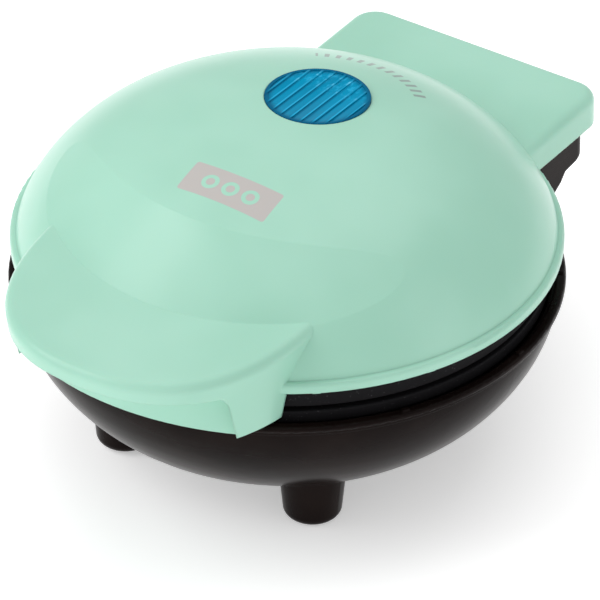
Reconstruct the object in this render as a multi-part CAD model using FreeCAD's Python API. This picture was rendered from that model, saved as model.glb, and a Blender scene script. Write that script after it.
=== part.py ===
import FreeCAD, Part
import math
import os

V = FreeCAD.Vector

# Small round two-plate donut maker, closed.  Units are millimetres.
# Origin: on the table, under the middle of the lid.  +Z up, +Y towards the hinge, -Y towards the handle.

# ------------------------------------------------------------------ lid
LID_RADIUS = 84.3           # outside of the lid rim
LID_SEAT_Z = 67.5           # underside of the lid rim
RIM_HEIGHT = 3.2
RIM_STEP = 1.5              # rim stands this far outside the foot of the dome
RIM_ROUND = 1.2
LID_WALL = 2.5
DOME_WALL = 3.2
DOME_FOOT_LIFT = 0.6        # foot of the dome above the underside of the rim
DOME_HEIGHT = 41.7
DOME_POWER_R = 2.64         # the dome's outline is (r/R)^a + (z/H)^b = 1
DOME_POWER_Z = 1.56
CURVE_STEPS = 12

# ------------------------------------------------------------------ handle
HANDLE_HALF_WIDTH = 48.0
HANDLE_REACH = 26.2         # from the lid rim to the front of the handle
HANDLE_ROOT_INSET = 30.3    # from the lid rim back to where the crescent is widest
HANDLE_OVERLAP = 10.0       # how far the handle's body runs on inside the dome
HANDLE_POWER = 2.4
HANDLE_TOP_Z = 81.3         # top face at its front edge
HANDLE_RISE = 0.083         # the top face climbs this much per millimetre towards the dome
HANDLE_BOTTOM_Z = 57.5
HANDLE_BROAD_Z = 78.0       # the outline is given at this height
HANDLE_DRAFT = 0.134        # the sides draw in by this much per millimetre downwards
HANDLE_ROUND = 3.0
GRIP_LIP_Z = 75.0           # underside of the front band
GRIP_HALF_WIDTH = 39.5
GRIP_FOOT_GAP = 7.7         # from the lid rim to the finger wall, at its lower edge
GRIP_LIP_GAP = 8.7          # and under the front band
GRIP_CORNER = 4.0
LEG_FOOT_GAP = 9.7          # from the lid rim to the front of the two legs beside the finger wall
LEG_LIP_GAP = 14.7
SCOOP_CENTRE_Y = 6.4        # the thumb scoop is part of a cone, given at HANDLE_TOP_Z
SCOOP_SLOPE = 0.764

# ------------------------------------------------------------------ hinge
BLOCK_HALF_WIDTH = 44.0
BLOCK_REACH = 26.2          # from the lid rim to the rear of the hinge housing
BLOCK_TOP_Z = 78.0
BLOCK_INNER_Y = 4.0         # the housing's body runs on inside the dome to here
BLOCK_CORNER = 8.5
BLOCK_ROUND = 3.2
HINGE_REACH = 18.2          # from the lid rim to the axis
HINGE_Z = 71.5
ROD_RADIUS = 1.6
ROD_CLEARANCE = 0.05
KNUCKLE_RADIUS = 3.7
ARM_INNER_X = 20.0
ARM_WIDTH = 9.0
LUG_GAP = 0.6               # between an arm and the lid lug beside it
LUG_WIDTH = 4.0
LUG_RADIUS = 4.0
BUSH_RADIUS = 2.6
ARM_REACH = 5.2             # the arm's rear face stands this far in front of the axis
ARM_DEPTH = 6.5
ARM_SHOULDER = 4.5          # below the axis, where the arm leans back to it
ARM_TANGENT = 125.0         # where the arm's front meets the knuckle, in degrees from +Y
ARM_ROOT = 4.0              # length of arm sunk in the tower
CLIP_THICKNESS = 0.8
CLIP_RADIUS = 3.0
ROD_END = 1.2               # rod beyond each clip

# ------------------------------------------------------------------ base
FLANGE_OVERHANG = 0.7       # beyond the lid rim
FLANGE_TOP_Z = 55.5
FLANGE_HEIGHT = 2.3
FLANGE_ROUND = 0.9
LIP_DROP = 1.5              # step inside the flange
LIP_GAP = 2.0               # round the plates
FLANGE_WIDTH = 1.9          # beyond the bowl
BOWL_TOP_Z = 52.1
BOWL_BOTTOM_Z = 8.3
BOWL_FLAT_RADIUS = 34.8
BOWL_POWER_R = 1.8
BOWL_POWER_Z = 1.7
BASE_WALL = 2.5
TOWER_HALF_WIDTH = 38.5
TOWER_TOP_Z = 61.8          # behind the step
TOWER_FRONT_Z = 66.7        # in front of the step, just under the lid
TOWER_REACH = 6.7           # behind the hinge axis
TOWER_STEP = 1.0            # chamfer of the step
TOWER_HEEL = (              # underside of the tower: distances in front of its rear face and below its top
    (0.0, 4.6),
    (1.0, 6.4),
    (2.6, 7.8),
    (6.0, 9.2),
    (12.0, 9.8),
    (14.5, 12.5),
    (25.0, 18.5),
)
TOWER_ROOT_DROP = 30.0      # how far below its top the tower runs into the bowl
TOWER_CORNER = 5.0
FOOT_X = 34.5
FOOT_Y = 37.5
FOOT_HEIGHT = 22.2
FOOT_RADIUS = 8.8
FOOT_TAPER = 0.1            # growth of the radius per millimetre of height
FOOT_ROUND = 3.2
PAD_RADIUS = 5.0
PAD_THICKNESS = 2.0
PAD_PROUD = 0.6
STOP_WIDTH = 2.5            # small lugs on the rim and on the flange
STOP_HEIGHT = 0.6
STOP_DEPTH = 1.6
STOP_INSET = 0.4            # from the flange's inner edge to a lug
LID_STOP_ANGLES = (-50.0, -25.0, 0.0, 25.0, 50.0)
FLANGE_STOP_ANGLES = (-31.0, 1.0, 33.0)

# ------------------------------------------------------------------ cooking plates
PLATE_INSET = 4.3           # inside the lid rim
PLATE_GAP = 1.6             # between the two cooking faces when shut
PLATE_MID_Z = 59.0
PLATE_THICKNESS = 3.0
PLATE_EDGE_ROUND = 0.6
SKIRT_WALL = 2.5
LOWER_EDGE_HEIGHT = 3.8     # the lower plate's rim, above its narrower skirt
LOWER_SKIRT_INSET = 3.0
LOWER_SKIRT_HEIGHT = 9.0
DONUT_COUNT = 6             # round the middle one
DONUT_PITCH = 49.0
RING_RADIUS = 14.5          # centre line of a donut
RING_SECTION = 9.0
CUP_WALL = 0.7
CUP_FLOOR = 2.5
STUD_CORE_RADIUS = 2.6
STUD_CORE_DEPTH = 8.0
BOSS_RADIUS = 4.0
BOSS_INSET = 16.0           # inside the plates' edge
BOSS_ANGLES = (30.0, 150.0, 270.0)
SCREW_RADIUS = 1.5
SCREW_CLEARANCE = 0.05
SCREW_GRIP = 9.0            # length of screw in a boss of the lower plate
LID_SCREW_GRIP = 6.0        # length of screw in a post of the lid
PAN_HEAD_RADIUS = 3.0
PAN_HEAD_HEIGHT = 2.2
SLOT_WIDTH = 0.8
SLOT_DEPTH = 0.9
FLAT_HEAD_RADIUS = 3.0
FLAT_HEAD_HEIGHT = 1.6
WELL_RADIUS = 4.0
POST_RADIUS = 6.0
WELL_ROOF = 4.0
LID_POST_RADIUS = 4.5

# ------------------------------------------------------------------ heating and electrics
ELEMENT_RADIUS = 3.25       # section of the tubular element
ELEMENT_RING = 45.0
ELEMENT_SWEEP = 310.0
ELEMENT_BED = 1.0           # how deep it lies in the plate
ELEMENT_FIT = 0.05
ELEMENT_LEG = 14.0
PIN_RADIUS = 1.5
PIN_LENGTH = 7.0
SHIELD_INSET = 10.0         # inside the plates' edge
SHIELD_THICKNESS = 0.8
SHIELD_LIP = 4.0
SHIELD_DROP = 1.7           # from the element to the shield
BEAD_WALL = 0.95
BEAD_COLLAR_WIDTH = 1.4
BEAD_LENGTH = 6.0
BEAD_RISE = 2.0             # above the shield's far face
BEAD_COLLAR_LENGTH = 1.6
THERMOSTAT_RADIUS = 8.0
THERMOSTAT_HEIGHT = 9.0
THERMOSTAT_Y = -20.0
BLADE_WIDTH = 5.0
BLADE_THICKNESS = 0.8
BLADE_LENGTH = 8.0
BRACKET_LENGTH = 30.0
BRACKET_BREADTH = 20.0
FUSE_RADIUS = 2.0
FUSE_LENGTH = 12.0
FUSE_LEAD = 9.0
FUSE_LEAD_RADIUS = 0.5
FUSE_X = -30.0
SLEEVE_WALL = 0.6
SLEEVE_LENGTH = 26.0
TERMINAL_LENGTH = 30.0         # terminal block
TERMINAL_BREADTH = 15.0
TERMINAL_HEIGHT = 11.0
TERMINAL_PITCH = 9.0
TERMINAL_RADIUS = 2.2
TERMINAL_Y = 8.0
WIRE_RADIUS = 1.3
WIRE_BEND = 5.0
GLAND_BORE = 3.3
GLAND_BODY = 4.3
GLAND_COLLAR = 5.0
GLAND_COLLAR_LENGTH = 2.4
GLAND_SEAT = 1.6            # depth of the collar's seat in the tower
GLAND_Z = 54.6
GLAND_BOSS = 6.6            # round boss on the tower that holds the gland
GLAND_BOSS_LENGTH = 16.0

# ------------------------------------------------------------------ lens
LENS_RADIUS = 16.2
LENS_Y = 16.6
LENS_TILT = 2.0
LENS_THICKNESS = 2.4
LENS_SINK = 0.5             # the lens face below the dome
LENS_CHAMFER = 0.9
LENS_FIT = 0.1
RIB_COUNT = 7
RIB_WIDTH = 1.6
RIB_HEIGHT = 1.2
RETAINER_WALL = 2.0
RETAINER_HEIGHT = 7.0
HOLDER_THICKNESS = 1.5
LAMP_RADIUS = 2.5
LAMP_LENGTH = 12.0

# ------------------------------------------------------------------ derived places
DOME_RADIUS = LID_RADIUS - RIM_STEP
HANDLE_FRONT_Y = -(LID_RADIUS + HANDLE_REACH)
HANDLE_ROOT_Y = -(LID_RADIUS - HANDLE_ROOT_INSET)
HANDLE_INNER_Y = HANDLE_ROOT_Y + HANDLE_OVERLAP
GRIP_FOOT_RADIUS = LID_RADIUS + GRIP_FOOT_GAP
GRIP_LIP_RADIUS = LID_RADIUS + GRIP_LIP_GAP
LEG_FOOT_RADIUS = LID_RADIUS + LEG_FOOT_GAP
LEG_LIP_RADIUS = LID_RADIUS + LEG_LIP_GAP
SCOOP_RADIUS = LID_RADIUS
BLOCK_REAR_Y = LID_RADIUS + BLOCK_REACH
HINGE_Y = LID_RADIUS + HINGE_REACH
PLATE_RADIUS = LID_RADIUS - PLATE_INSET
LOWER_SKIRT_RADIUS = PLATE_RADIUS - LOWER_SKIRT_INSET
BOSS_CIRCLE = PLATE_RADIUS - BOSS_INSET
SHIELD_RADIUS = PLATE_RADIUS - SHIELD_INSET
CUP_RADIUS = RING_RADIUS + RING_SECTION + CUP_WALL
BEAD_RADIUS = ELEMENT_RADIUS + BEAD_WALL
BEAD_COLLAR = BEAD_RADIUS + BEAD_COLLAR_WIDTH
FLANGE_RADIUS = LID_RADIUS + FLANGE_OVERHANG
LIP_RADIUS = PLATE_RADIUS + LIP_GAP
BOWL_RADIUS = FLANGE_RADIUS - FLANGE_WIDTH
TOWER_REAR_Y = HINGE_Y + TOWER_REACH
DOME_FOOT_Z = LID_SEAT_Z + DOME_FOOT_LIFT
CROWN_Z = DOME_FOOT_Z + DOME_HEIGHT
LOWER_FACE_Z = PLATE_MID_Z - PLATE_GAP / 2
UPPER_FACE_Z = PLATE_MID_Z + PLATE_GAP / 2
CUP_DEPTH = RING_SECTION + CUP_FLOOR
ELEMENT_DEPTH = CUP_DEPTH + ELEMENT_RADIUS - ELEMENT_BED
SHIELD_DEPTH = ELEMENT_DEPTH + ELEMENT_RADIUS + SHIELD_DROP
SHIELD_Z = LOWER_FACE_Z - SHIELD_DEPTH
LID_SHIELD_Z = UPPER_FACE_Z + SHIELD_DEPTH
FLOOR_Z = BOWL_BOTTOM_Z + BASE_WALL
ARM_OUTER_X = ARM_INNER_X + ARM_WIDTH
LUG_INNER_X = ARM_OUTER_X + LUG_GAP
LUG_OUTER_X = LUG_INNER_X + LUG_WIDTH
ROD_HALF_LENGTH = LUG_OUTER_X + CLIP_THICKNESS + ROD_END
UPPER_SKIRT_HEIGHT = DOME_FOOT_Z - UPPER_FACE_Z     # the skirt seats under the foot of the dome
FAR = 200.0                 # larger than anything in the model


# ------------------------------------------------------------------ helpers
def cylinder(radius, z_from, z_to, x=0.0, y=0.0):
    return Part.makeCylinder(radius, z_to - z_from, V(x, y, z_from))


def box(x_from, x_to, y_from, y_to, z_from, z_to):
    return Part.makeBox(x_to - x_from, y_to - y_from, z_to - z_from, V(x_from, y_from, z_from))


def fuse_all(shapes):
    return shapes[0].multiFuse(shapes[1:]).removeSplitter()


def cut_all(shape, tools):
    for tool in tools:
        shape = shape.cut(tool)
    return shape.removeSplitter()


def on_circle(radius, degrees):
    angle = math.radians(degrees)
    return radius * math.cos(angle), radius * math.sin(angle)


def bulge(centre_r, span_r, base_z, span_z, power_r, power_z):
    """Edge of |r/span_r|^a + |z/span_z|^b = 1, from its rim to its crown."""
    points = []
    for step in range(CURVE_STEPS + 1):
        turn = math.pi / 2 * step / CURVE_STEPS
        along = max(math.cos(turn), 0.0) ** (2 / power_r)
        up = math.sin(turn) ** (2 / power_z)
        points.append(V(centre_r + span_r * along, 0, base_z + span_z * up))
    points[-1] = V(centre_r, 0, base_z + span_z)
    curve = Part.BSplineCurve()
    curve.interpolate(points)
    return curve.toShape()


def revolve_edges(edges, corners):
    """Close the open outline given by edges with straight runs through corners, and spin it about Z."""
    start = edges[0].valueAt(edges[0].FirstParameter)
    end = edges[-1].valueAt(edges[-1].LastParameter)
    path = [end] + corners + [start]
    for first, second in zip(path, path[1:]):
        edges = edges + [Part.LineSegment(first, second).toShape()]
    face = Part.Face(Part.Wire(edges))
    return face.revolve(V(0, 0, 0), V(0, 0, 1), 360)


def filled_bulge(centre_r, span_r, base_z, span_z, power_r, power_z):
    edge = bulge(centre_r, span_r, base_z, span_z, power_r, power_z)
    corners = [V(0, 0, base_z)]
    if centre_r > 0:
        corners = [V(0, 0, base_z + span_z), V(0, 0, base_z)]
    return revolve_edges([edge], corners)


def prism_x(points_yz, x_from, x_to):
    """Solid of a Y-Z outline, straight along X."""
    corners = [V(x_from, y, z) for y, z in points_yz]
    face = Part.Face(Part.makePolygon(corners + corners[:1]))
    return face.extrude(V(x_to - x_from, 0, 0))


def rod_x(radius, x_from, x_to, y, z):
    return Part.makeCylinder(radius, x_to - x_from, V(x_from, y, z), V(1, 0, 0))


def edges_at(shape, test):
    """Edges whose middle point passes the test."""
    found = []
    for edge in shape.Edges:
        middle = edge.valueAt((edge.FirstParameter + edge.LastParameter) / 2)
        if test(middle):
            found.append(edge)
    return found


def near(value, target, slack=0.05):
    return abs(value - target) < slack


def mirrored_x(shape):
    return shape.mirror(V(0, 0, 0), V(1, 0, 0))


def lid_side(shape):
    """Turn a piece of the lower heating set over, for the lid."""
    turned = shape.copy()
    turned.rotate(V(0, 0, PLATE_MID_Z), V(0, 1, 0), 180)
    return turned


def tube(points, radius, bend):
    """Round bar along straight runs joined by tangent arcs."""
    edges = []
    start = points[0]
    for before, corner, after in zip(points, points[1:], points[2:]):
        towards = (before - corner).normalize()
        away = (after - corner).normalize()
        half = towards.getAngle(away) / 2
        run = bend / math.tan(half)
        enter = corner + towards * run
        leave = corner + away * run
        middle = corner + (towards + away).normalize() * (bend / math.sin(half) - bend)
        edges.append(Part.LineSegment(start, enter).toShape())
        edges.append(Part.Arc(enter, middle, leave).toShape())
        start = leave
    edges.append(Part.LineSegment(start, points[-1]).toShape())
    path = Part.Wire(edges)
    first = (points[1] - points[0]).normalize()
    ring = Part.Wire(Part.makeCircle(radius, points[0], first))
    return path.makePipeShell([ring], True, True)


# ------------------------------------------------------------------ lid shell
def handle_outline(inset, z):
    """Crescent of the handle, seen from above, as a wire at height z."""
    half_width = HANDLE_HALF_WIDTH - inset
    reach = HANDLE_ROOT_Y - HANDLE_FRONT_Y - inset
    points = []
    for step in range(2 * CURVE_STEPS + 1):
        turn = math.pi * step / (2 * CURVE_STEPS)
        across = abs(math.cos(turn)) ** (2 / HANDLE_POWER) * math.copysign(1, math.cos(turn))
        out = math.sin(turn) ** (2 / HANDLE_POWER)
        points.append(V(half_width * across, HANDLE_ROOT_Y - reach * out, z))
    points[CURVE_STEPS] = V(0, HANDLE_ROOT_Y - reach, z)
    curve = Part.BSplineCurve()
    curve.interpolate(points)
    edge = curve.toShape()
    right = V(half_width, HANDLE_INNER_Y, z)
    left = V(-half_width, HANDLE_INNER_Y, z)
    sides = [
        Part.LineSegment(points[-1], left).toShape(),
        Part.LineSegment(left, right).toShape(),
        Part.LineSegment(right, points[0]).toShape(),
    ]
    return Part.Wire([edge] + sides)


def handle_top(y):
    return HANDLE_TOP_Z + HANDLE_RISE * (y - HANDLE_FRONT_Y)


def handle_block(inset):
    """Crescent with drawn-in sides under the sloping top face, made smaller by inset at its sides and top."""
    z_to = handle_top(0)
    low = handle_outline(inset + HANDLE_DRAFT * (HANDLE_BROAD_Z - HANDLE_BOTTOM_Z), HANDLE_BOTTOM_Z)
    high = handle_outline(inset + HANDLE_DRAFT * (HANDLE_BROAD_Z - z_to), z_to)
    body = Part.makeLoft([low, high], True, True)
    above = [(-FAR, handle_top(-FAR) - inset), (FAR, handle_top(FAR) - inset), (FAR, FAR), (-FAR, FAR)]
    return body.cut(prism_x(above, -FAR, FAR))


def handle_body():
    body = handle_block(0.0)
    rim = edges_at(body, lambda p: near(p.z, handle_top(p.y)) and p.y < HANDLE_INNER_Y - 1)
    body = body.makeFillet(HANDLE_ROUND, rim)
    # Below the rim the handle stays in front of the rim circle.
    return body.cut(cylinder(LID_RADIUS - LID_WALL, HANDLE_BOTTOM_Z - 1, LID_SEAT_Z))


def in_front_of(foot_radius, lip_radius, margin):
    """Room outside a cone about the lid's axis, under the front band and moved into the wall by margin."""
    low_z = HANDLE_BOTTOM_Z - 5
    slope = (lip_radius - foot_radius) / (GRIP_LIP_Z - HANDLE_BOTTOM_Z)
    top_z = GRIP_LIP_Z + margin
    low = foot_radius - slope * (HANDLE_BOTTOM_Z - low_z) - margin
    high = lip_radius + slope * margin - margin
    room = box(-FAR, FAR, -FAR, -BOSS_CIRCLE, low_z, top_z)
    return room.cut(Part.makeCone(low, high, top_z - low_z, V(0, 0, low_z)))


def grip_recess(margin):
    """What is taken from under the front band: the face of both legs, and a window for the fingers."""
    half = GRIP_HALF_WIDTH + margin
    top_z = GRIP_LIP_Z + margin
    window = box(-half, half, -FAR, 0, HANDLE_BOTTOM_Z - 10, top_z)
    corners = edges_at(window, lambda p: near(p.z, top_z) and near(abs(p.x), half))
    window = window.makeFillet(GRIP_CORNER, corners)
    fingers = in_front_of(GRIP_FOOT_RADIUS, GRIP_LIP_RADIUS, margin).common(window)
    return in_front_of(LEG_FOOT_RADIUS, LEG_LIP_RADIUS, margin).fuse(fingers)


def scoop(inset):
    """What the thumb scoop takes off the dome, moved into the wall by inset."""
    z_from = HANDLE_TOP_Z - inset
    height = CROWN_Z + 5 - z_from
    high_radius = SCOOP_RADIUS - height / SCOOP_SLOPE
    cone = Part.makeCone(SCOOP_RADIUS, high_radius, height, V(0, SCOOP_CENTRE_Y, z_from))
    return box(-FAR, FAR, -FAR, -BOSS_RADIUS, z_from, z_from + height).cut(cone)


def block_body(inset):
    """Square housing over the hinge, open below."""
    half = BLOCK_HALF_WIDTH - inset
    body = box(-half, half, BLOCK_INNER_Y, BLOCK_REAR_Y - inset, LID_SEAT_Z, BLOCK_TOP_Z - inset)
    uprights = edges_at(body, lambda p: near(abs(p.x), half) and near(p.y, BLOCK_REAR_Y - inset))
    body = body.makeFillet(BLOCK_CORNER - inset, uprights)
    if inset == 0:
        top = edges_at(body, lambda p: near(p.z, BLOCK_TOP_Z) and p.y > BLOCK_INNER_Y + 1)
        body = body.makeFillet(BLOCK_ROUND, top)
    return body


def dome_solid(inset):
    radius = DOME_RADIUS - inset
    height = DOME_HEIGHT - inset
    dome = filled_bulge(0.0, radius, DOME_FOOT_Z, height, DOME_POWER_R, DOME_POWER_Z)
    return dome.cut(scoop(inset))


def lid_rim():
    rim = cylinder(LID_RADIUS, LID_SEAT_Z, LID_SEAT_Z + RIM_HEIGHT)
    top_edge = edges_at(rim, lambda p: near(p.z, LID_SEAT_Z + RIM_HEIGHT))
    return rim.makeFillet(RIM_ROUND, top_edge)


def lens_frame(shape):
    """Place a piece made about Z = 0 on the lens axis, its zero plane at the lens face."""
    placed = shape.copy()
    placed.rotate(V(0, 0, 0), V(1, 0, 0), -LENS_TILT)
    placed.translate(V(0, LENS_Y, CROWN_Z - LENS_SINK))
    return placed


def stop_lugs(angles, radius, z_from):
    """Small blocks set round a circle, on both sides."""
    lugs = []
    for angle in angles:
        lug = box(radius - STOP_DEPTH, radius, -STOP_WIDTH / 2, STOP_WIDTH / 2, z_from, z_from + STOP_HEIGHT)
        lug.rotate(V(0, 0, 0), V(0, 0, 1), angle)
        lugs.append(lug)
        lugs.append(mirrored_x(lug))
    return lugs


def lid_shell():
    handle = handle_body().cut(grip_recess(0.0))
    outer = fuse_all([dome_solid(0.0), lid_rim(), handle, block_body(0.0)])
    handle_room = cut_all(handle_block(LID_WALL), [
        grip_recess(LID_WALL),
        box(-FAR, FAR, -FAR, FAR, 0, LID_SEAT_Z + LID_WALL),
    ])
    ring_wall = cylinder(LID_RADIUS, LID_SEAT_Z, BLOCK_TOP_Z)
    block_room = block_body(LID_WALL).cut(ring_wall)
    plate_room = cylinder(LID_RADIUS - RIM_STEP - LID_WALL + 1.0, LID_SEAT_Z - 1, DOME_FOOT_Z)
    inside = dome_solid(DOME_WALL).multiFuse([handle_room, block_room, plate_room])
    shell = outer.cut(inside)

    crown_inside = filled_bulge(
        0.0, DOME_RADIUS - 1, DOME_FOOT_Z, DOME_HEIGHT - 1, DOME_POWER_R, DOME_POWER_Z)
    posts = []
    for angle in BOSS_ANGLES:
        x, y = on_circle(BOSS_CIRCLE, angle)
        post = cylinder(LID_POST_RADIUS, LID_SHIELD_Z + SHIELD_THICKNESS, CROWN_Z, x, y)
        posts.append(post.common(crown_inside).common(dome_solid(1.0)))
    lugs = []
    for x_from in (LUG_INNER_X, -LUG_OUTER_X):
        lug = rod_x(LUG_RADIUS, x_from, x_from + LUG_WIDTH, HINGE_Y, HINGE_Z)
        x_to = x_from + LUG_WIDTH
        web = box(x_from, x_to, HINGE_Y - LUG_RADIUS, HINGE_Y + LUG_RADIUS, HINGE_Z, BLOCK_TOP_Z - 1)
        lugs.append(lug)
        lugs.append(web)
    rim_stops = stop_lugs(LID_STOP_ANGLES, LID_RADIUS - RIM_ROUND / 2, LID_SEAT_Z - STOP_HEIGHT)
    shell = fuse_all([shell] + posts + lugs + rim_stops)

    tools = [rod_x(BUSH_RADIUS, -LUG_OUTER_X - 1, LUG_OUTER_X + 1, HINGE_Y, HINGE_Z)]
    tools.append(lens_frame(cylinder(LENS_RADIUS + LENS_FIT, -2 * LID_WALL - 2, 5)))
    mouth_radius = LENS_RADIUS + 2 * LENS_CHAMFER
    chamfer = Part.makeCone(LENS_RADIUS, mouth_radius, 2 * LENS_CHAMFER, V(0, 0, -LENS_CHAMFER / 2))
    tools.append(lens_frame(chamfer))
    for angle in BOSS_ANGLES:
        x, y = on_circle(BOSS_CIRCLE, angle)
        pilot_top = LID_SHIELD_Z + SHIELD_THICKNESS + LID_SCREW_GRIP
        tools.append(cylinder(SCREW_RADIUS + SCREW_CLEARANCE, LID_SHIELD_Z, pilot_top + 0.5, x, y))
    tools.append(Part.makeCylinder(2 * WIRE_RADIUS, 12, V(0, DOME_RADIUS - 8, HINGE_Z + 0.5), V(0, 1, 0)))
    return cut_all(shell, tools)


# ------------------------------------------------------------------ base shell
def bowl_solid(inset):
    return filled_bulge(
        BOWL_FLAT_RADIUS, BOWL_RADIUS - BOWL_FLAT_RADIUS - inset,
        BOWL_TOP_Z, BOWL_BOTTOM_Z - BOWL_TOP_Z + inset, BOWL_POWER_R, BOWL_POWER_Z)


def base_flange():
    ring = cylinder(FLANGE_RADIUS, FLANGE_TOP_Z - FLANGE_HEIGHT, FLANGE_TOP_Z)
    ring = ring.makeFillet(FLANGE_ROUND, edges_at(ring, lambda p: p.Length > LID_RADIUS))
    neck = cylinder(BOWL_RADIUS + 1, BOWL_TOP_Z, FLANGE_TOP_Z - FLANGE_HEIGHT)
    return ring.fuse(neck)


def tower_prism(inset):
    """Tower along its full width: a high front, a step for the block's rear wall, and a curved heel."""
    step_y = HINGE_Y - ARM_REACH
    outline = [
        (BOSS_CIRCLE, TOWER_FRONT_Z),
        (step_y - TOWER_STEP, TOWER_FRONT_Z),
        (step_y, TOWER_FRONT_Z - TOWER_STEP),
        (step_y, TOWER_TOP_Z),
        (TOWER_REAR_Y, TOWER_TOP_Z),
    ]
    for forward, below in TOWER_HEEL:
        outline.append((TOWER_REAR_Y - forward, TOWER_TOP_Z - below))
    outline.append((BOSS_CIRCLE, TOWER_TOP_Z - TOWER_ROOT_DROP))
    half = TOWER_HALF_WIDTH - inset
    corners = [V(-half, y, z) for y, z in outline]
    face = Part.Face(Part.makePolygon(corners + corners[:1]))
    if inset > 0:
        face = face.makeOffset2D(-inset)
    return face.extrude(V(2 * half, 0, 0))


def gland_bar(radius, y_from, y_to):
    return Part.makeCylinder(radius, y_to - y_from, V(0, y_from, GLAND_Z), V(0, 1, 0))


def tower_body():
    plan = box(-TOWER_HALF_WIDTH, TOWER_HALF_WIDTH, 0, TOWER_REAR_Y, 0, FAR)
    uprights = edges_at(plan, lambda p: near(abs(p.x), TOWER_HALF_WIDTH) and near(p.y, TOWER_REAR_Y))
    body = tower_prism(0.0).common(plan.makeFillet(TOWER_CORNER, uprights))
    return body.fuse(gland_bar(GLAND_BOSS, TOWER_REAR_Y - GLAND_BOSS_LENGTH, TOWER_REAR_Y))


def hinge_arm(x_from):
    """Arm that carries the rod, in front of the axis so that the block's rear wall can swing in behind."""
    rear_y = HINGE_Y - ARM_REACH
    front_y = rear_y - ARM_DEPTH
    shoulder_z = HINGE_Z - ARM_SHOULDER
    out, up = on_circle(KNUCKLE_RADIUS, ARM_TANGENT)
    side = [
        (front_y, TOWER_TOP_Z - ARM_ROOT),
        (front_y, shoulder_z),
        (HINGE_Y + out, HINGE_Z + up),
        (HINGE_Y, HINGE_Z - KNUCKLE_RADIUS),
        (rear_y, shoulder_z),
        (rear_y, TOWER_TOP_Z - ARM_ROOT),
    ]
    arm = prism_x(side, x_from, x_from + ARM_WIDTH)
    return arm.fuse(rod_x(KNUCKLE_RADIUS, x_from, x_from + ARM_WIDTH, HINGE_Y, HINGE_Z))


def foot(x, y):
    cone = Part.makeCone(FOOT_RADIUS, FOOT_RADIUS + FOOT_TAPER * FOOT_HEIGHT, FOOT_HEIGHT, V(x, y, PAD_PROUD))
    return cone.makeFillet(FOOT_ROUND, edges_at(cone, lambda p: near(p.z, PAD_PROUD)))


def foot_places():
    return [(x, y) for x in (-FOOT_X, FOOT_X) for y in (-FOOT_Y, FOOT_Y)]


def base_shell():
    feet = [foot(x, y) for x, y in foot_places()]
    arms = [hinge_arm(ARM_INNER_X), hinge_arm(-ARM_OUTER_X)]
    outer = fuse_all([bowl_solid(0.0), base_flange(), tower_body()] + feet + arms)
    plate_bay = cylinder(LIP_RADIUS, FLANGE_TOP_Z - LIP_DROP, HINGE_Z + KNUCKLE_RADIUS)
    well_mouth = cylinder(BOWL_RADIUS - BASE_WALL, BOWL_TOP_Z - 0.01, FLANGE_TOP_Z)
    tower_room = tower_prism(BASE_WALL)
    tower_room = tower_room.cut(cylinder(LIP_RADIUS + BASE_WALL, BOWL_TOP_Z - 6, FAR))
    tower_room = tower_room.cut(bowl_solid(0.0))
    passage_z = BOWL_TOP_Z - 6
    passage_y = LIP_RADIUS + BASE_WALL + 0.5
    passage = box(-FOOT_RADIUS, FOOT_RADIUS, BOWL_RADIUS - 10, passage_y, passage_z + 0.4, passage_z + 3)
    shell = outer.cut(bowl_solid(BASE_WALL))
    shell = cut_all(shell, [plate_bay, well_mouth, tower_room, passage])

    posts = []
    for angle in BOSS_ANGLES:
        x, y = on_circle(BOSS_CIRCLE, angle)
        posts.append(cylinder(POST_RADIUS, 0, SHIELD_Z - SHIELD_THICKNESS, x, y).common(bowl_solid(0.0)))
    flange_stops = stop_lugs(FLANGE_STOP_ANGLES, LIP_RADIUS + STOP_INSET + STOP_DEPTH, FLANGE_TOP_Z)
    shell = fuse_all([shell] + posts + flange_stops)

    tools = [rod_x(ROD_RADIUS, -FAR, FAR, HINGE_Y, HINGE_Z)]
    for angle in BOSS_ANGLES:
        x, y = on_circle(BOSS_CIRCLE, angle)
        tools.append(cylinder(WELL_RADIUS, 0, SHIELD_Z - SHIELD_THICKNESS - WELL_ROOF, x, y))
        tools.append(cylinder(SCREW_RADIUS + SCREW_CLEARANCE, 0, SHIELD_Z, x, y))
    for x, y in foot_places():
        tools.append(cylinder(PAD_RADIUS, 0, PAD_THICKNESS, x, y))
    seat_y = TOWER_REAR_Y - GLAND_SEAT
    tools.append(gland_bar(GLAND_BODY, TOWER_REAR_Y - GLAND_BOSS_LENGTH - 1, TOWER_REAR_Y))
    tools.append(gland_bar(GLAND_COLLAR, seat_y, FAR))
    return cut_all(shell, tools)


# ------------------------------------------------------------------ cooking plates and heating
def donut_places():
    places = [(0.0, 0.0)]
    for number in range(DONUT_COUNT):
        places.append(on_circle(DONUT_PITCH, 360.0 * number / DONUT_COUNT))
    return places


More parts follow.
